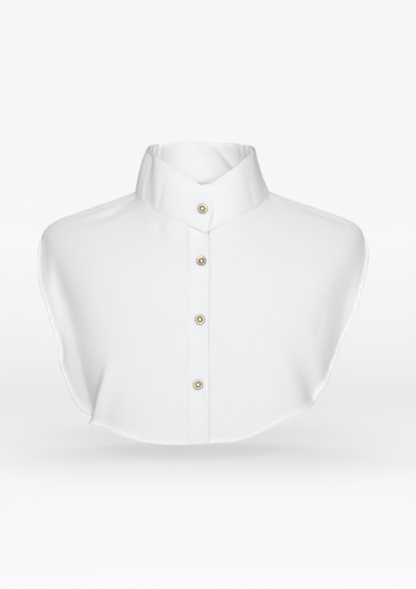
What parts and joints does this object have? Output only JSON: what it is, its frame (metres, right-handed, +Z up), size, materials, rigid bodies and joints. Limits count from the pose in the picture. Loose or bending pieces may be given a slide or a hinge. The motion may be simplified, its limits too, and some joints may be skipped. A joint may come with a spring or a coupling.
{
  "type": "false shirt collar",
  "caption": "White woven false shirt collar: a high overlapping collar band on a short sleeveless bib that buttons down the front",
  "frame": {"origin": "the middle of the neck opening, level with the collar seam on top of the shoulders", "axes": "+Z up, the front faces -Y, the wearer's left shoulder is at +X"},
  "size_m": [0.3817, 0.2049, 0.3438],
  "materials": {
    "cloth": "matt",
    "band_cloth": "matt",
    "brass": "satin"
  },
  "bodies": {
    "root": {"front_right": "cloth", "front_left": "cloth", "back": "cloth", "collar": "band_cloth", "placket": "band_cloth", "button_1": "brass", "button_2": "brass", "button_3": "brass", "button_4": "brass"}
  },
  "joints": []
}
